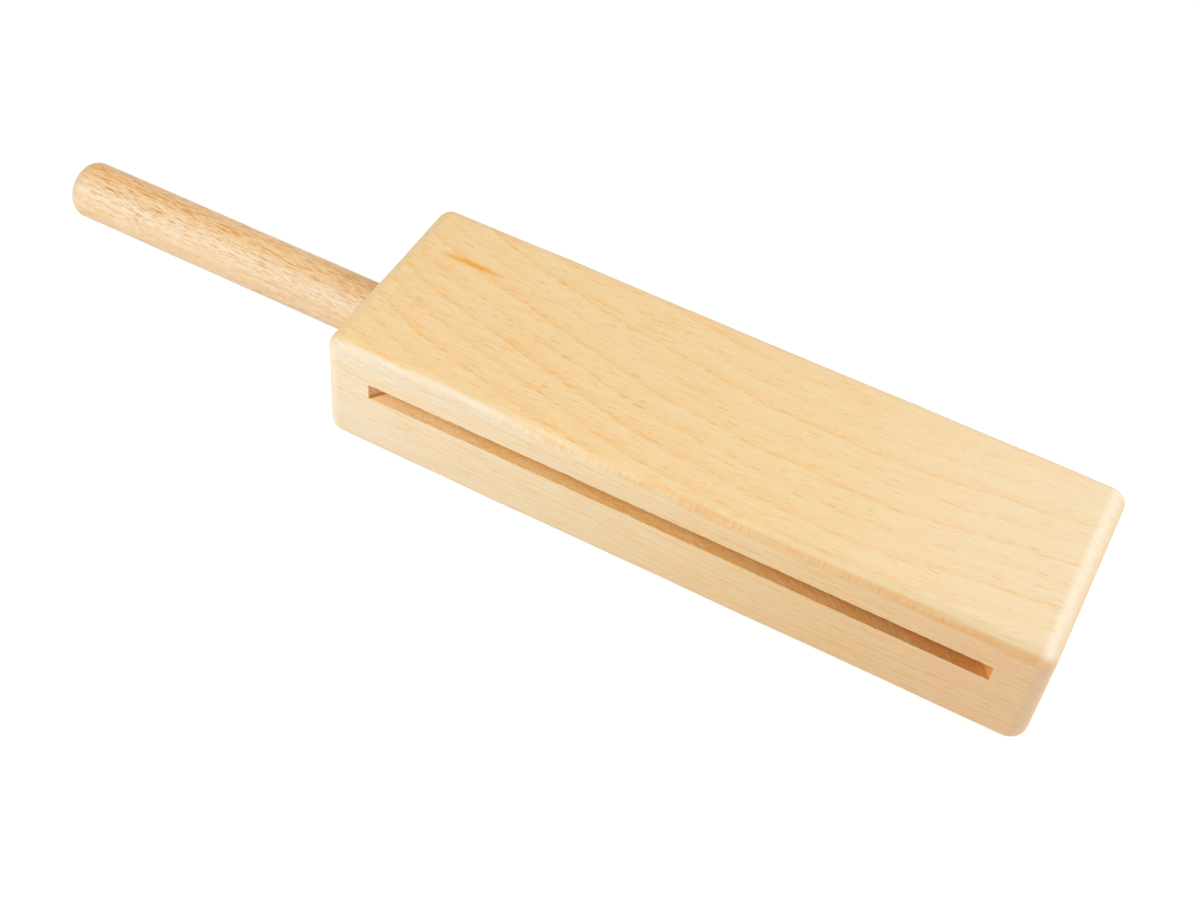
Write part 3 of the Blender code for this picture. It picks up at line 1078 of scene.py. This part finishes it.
class WOODBLOCK_OT_glue_line(Operator):
    """Makes the line of dried glue round the handle"""

    bl_idname = "woodblock.glue_line"
    bl_label = "Glue line"

    def execute(self, context):
        handle = context.scene.wood_block.handle
        sizes = {
            "Ring radius": handle.radius + handle.glue_gap / 2,
            "Bead radius": handle.bead,
            "Mouth": BLOCK_LOW.x + handle.bead * BEAD_SUNK,
            "Axis height": handle.axis_height,
        }
        piece = grow("glue_line", glue_tree(sizes, wood_glue()), sizes)
        settle(piece, "wood_glue", "handle_glue")
        return {"FINISHED"}


def hair(tree, length, radius, bow):
    """One torn fibre: a thin three-sided hair that bows as it leaves the wood along +X."""
    curve = add(tree, "GeometryNodeCurveQuadraticBezier", {
        "Resolution": HAIR_STEPS, "Start": (0.0, 0.0, 0.0), "Middle": (0.5, 0.0, bow), "End": (1.0, 0.0, 0.0),
    })[0]
    curve = add(tree, MOVE, {"Geometry": curve, "Scale": length})[0]
    share = add(tree, "GeometryNodeSplineParameter")["Factor"]
    taper = add(tree, RANGE, (share, 0.0, 1.0, 1.0, FIBRE_TIP))[0]
    section = add(tree, CIRCLE, {"Resolution": HAIR_SIDES, "Radius": radius})[0]
    return add(tree, SWEEP, {"Curve": curve, "Profile Curve": section, "Scale": taper, "Fill Caps": True})[0]


def fuzz_tree(sizes, material):
    """Fibres that stand off both lips of the slot, and the one long splinter."""
    tree, given = shape_tree("saw_fuzz", sizes)
    shapes = []
    fibre = hair(tree, given["Longest fibre"], given["Fibre thickness"], FIBRE_BOW)
    for seed, points in lip_points(tree, given, given["Fibres"], FIBRE_SEED_STEP):
        turn = add(tree, RANDOM, {
            0: FIBRE_TURN_LEAST, 1: FIBRE_TURN_MOST, "Seed": seed,
        }, data_type="FLOAT_VECTOR")[0]
        size = add(tree, RANDOM, {
            RANDOM_LEAST: FIBRE_LEAST, RANDOM_MOST: 1.0, "Seed": seed,
        }, data_type="FLOAT")[RANDOM_NUMBER]
        shapes.append(add(tree, ON_POINTS, {
            "Points": points, "Instance": fibre, "Rotation": turn, "Scale": size,
        })[0])
    splinter = hair(tree, given["Splinter length"], given["Splinter radius"], SPLINTER_BOW)
    spot = add(tree, JOIN_XYZ, (given["Splinter place"], given["Front"], given["Slot roof"]))[0]
    shapes.append(add(tree, MOVE, {"Geometry": splinter, "Translation": spot, "Rotation": SPLINTER_TURN})[0])
    joined = add(tree, "GeometryNodeJoinGeometry", {0: shapes})[0]
    close_tree(tree, joined, material)
    return tree


class WOODBLOCK_OT_saw_fuzz(Operator):
    """Makes the torn fibres on the slot's lips"""

    bl_idname = "woodblock.saw_fuzz"
    bl_label = "Saw fuzz"

    def execute(self, context):
        settings = context.scene.wood_block
        block = settings.block
        fuzz = settings.fuzz
        sizes = {
            **named_sizes(fuzz),
            **slot_sizes(block, -block.width / 2 + fuzz.longest / ROOTS_PER_FIBRE),
            "Splinter radius": fuzz.thickness * SPLINTER_FIBRES,
        }
        piece = grow("saw_fuzz", fuzz_tree(sizes, torn_fibre()), sizes)
        settle(piece, "block_beech")
        return {"FINISHED"}


# Stage


def area_light(name, place, size, power):
    """A square softbox that faces the block."""
    lamp = bpy.data.lights.new(name, "AREA")
    lamp.size = size
    lamp.energy = power
    obj = new_object(name, lamp)
    obj.location = place
    obj.rotation_euler = (-Vector(place)).to_track_quat("-Z", "Y").to_euler()


def make_camera(studio):
    """The camera, turned round its aim and tilted."""
    across = math.cos(studio.elevation)
    forward = Vector((
        -math.sin(studio.azimuth) * across,
        math.cos(studio.azimuth) * across,
        -math.sin(studio.elevation),
    ))
    lens = bpy.data.cameras.new("camera")
    lens.lens = studio.lens
    lens.sensor_width = SENSOR_WIDTH_MM
    lens.clip_start = NEAREST_SEEN
    camera = new_object("camera", lens)
    level = forward.to_track_quat("-Z", "Y").to_matrix().to_4x4()
    tilt = Matrix.Rotation(studio.roll, 4, "Z")
    camera.matrix_world = Matrix.Translation(Vector(studio.aim) - forward * studio.distance) @ level @ tilt
    bpy.context.scene.camera = camera


def make_world():
    """White to the eye and in reflections, a soft even fill to everything else."""
    world = bpy.data.worlds.new("white_room")
    world.use_nodes = True
    tree = world.node_tree
    tree.nodes.clear()
    strength = add(tree, RANGE, (seen_rays(tree), *ROOM_GLOW))[0]
    glow = add(tree, "ShaderNodeBackground", {"Color": opaque(WHITE), "Strength": strength})[0]
    add(tree, "ShaderNodeOutputWorld", {0: glow})
    bpy.context.scene.world = world


class WOODBLOCK_OT_stage(Operator):
    """Makes the floor, the lights and the camera"""

    bl_idname = "woodblock.stage"
    bl_label = "Stage"

    def execute(self, context):
        studio = context.scene.wood_block.studio
        bpy.ops.mesh.primitive_circle_add(vertices=FLOOR_STEPS, radius=FLOOR_RADIUS, fill_type="NGON")
        floor = context.object
        floor.name = "floor"
        floor.data.materials.append(white_board(studio.floor))
        make_world()
        for softbox in SOFTBOXES:
            area_light(*softbox)
        make_camera(studio)
        context.scene.view_settings.view_transform = "Standard"
        return {"FINISHED"}


class WOODBLOCK_PT_panel(Panel):
    """Lists the pieces of the wood block"""

    bl_idname = "WOODBLOCK_PT_panel"
    bl_label = "Wood block"
    bl_space_type = "VIEW_3D"
    bl_region_type = "UI"
    bl_category = "Wood block"

    def draw(self, context):
        for operator in OPERATORS:
            self.layout.operator(operator.bl_idname)


OPERATORS = (
    WOODBLOCK_OT_sound_block,
    WOODBLOCK_OT_handle,
    WOODBLOCK_OT_glue_line,
    WOODBLOCK_OT_saw_fuzz,
    WOODBLOCK_OT_stage,
)
CLASSES = (
    BlockSizes,
    HandleSizes,
    FuzzSizes,
    BlockBeech,
    HandleBeech,
    StudioSettings,
    WoodBlockSettings,
    *OPERATORS,
    WOODBLOCK_PT_panel,
)


def register():
    for item in CLASSES:
        bpy.utils.register_class(item)
    bpy.types.Scene.wood_block = PointerProperty(type=WoodBlockSettings)


def unregister():
    del bpy.types.Scene.wood_block
    for item in reversed(CLASSES):
        bpy.utils.unregister_class(item)


def main():
    register()
    bpy.ops.woodblock.sound_block()
    bpy.ops.woodblock.handle()
    bpy.ops.woodblock.glue_line()
    bpy.ops.woodblock.saw_fuzz()
    bpy.ops.woodblock.stage()


if __name__ == "__main__":
    main()
